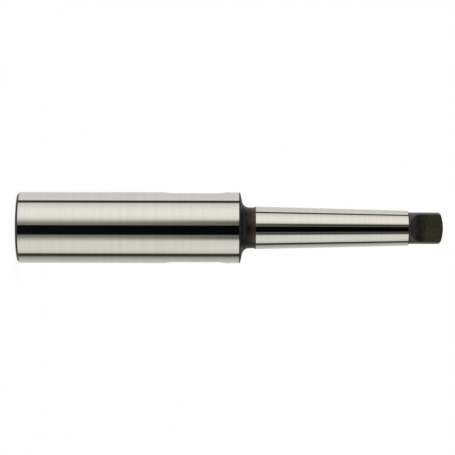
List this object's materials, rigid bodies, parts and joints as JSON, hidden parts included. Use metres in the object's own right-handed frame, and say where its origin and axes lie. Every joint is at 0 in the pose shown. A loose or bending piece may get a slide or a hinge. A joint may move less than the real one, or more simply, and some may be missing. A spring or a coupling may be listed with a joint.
{
  "type": "morse taper extension socket",
  "caption": "One-piece drill extension socket: a round body with a Morse taper socket and a drift slot, a short neck, and a Morse taper shank ending in a flat tang.",
  "frame": {"origin": "centre of the flat ring at the socket's mouth, which the part stands on", "axes": "+Z along the common axis of socket and shank, from the socket face to the tang; X along the drift slot; Y normal to the tang's flats and across the slot's width"},
  "size_m": [0.03, 0.03, 0.1795],
  "materials": {
    "steel": "ground bright on the body, shank and socket, dark and unground on the neck, shoulder and tang"
  },
  "bodies": {
    "root": {"extension_socket": "steel"}
  },
  "joints": []
}
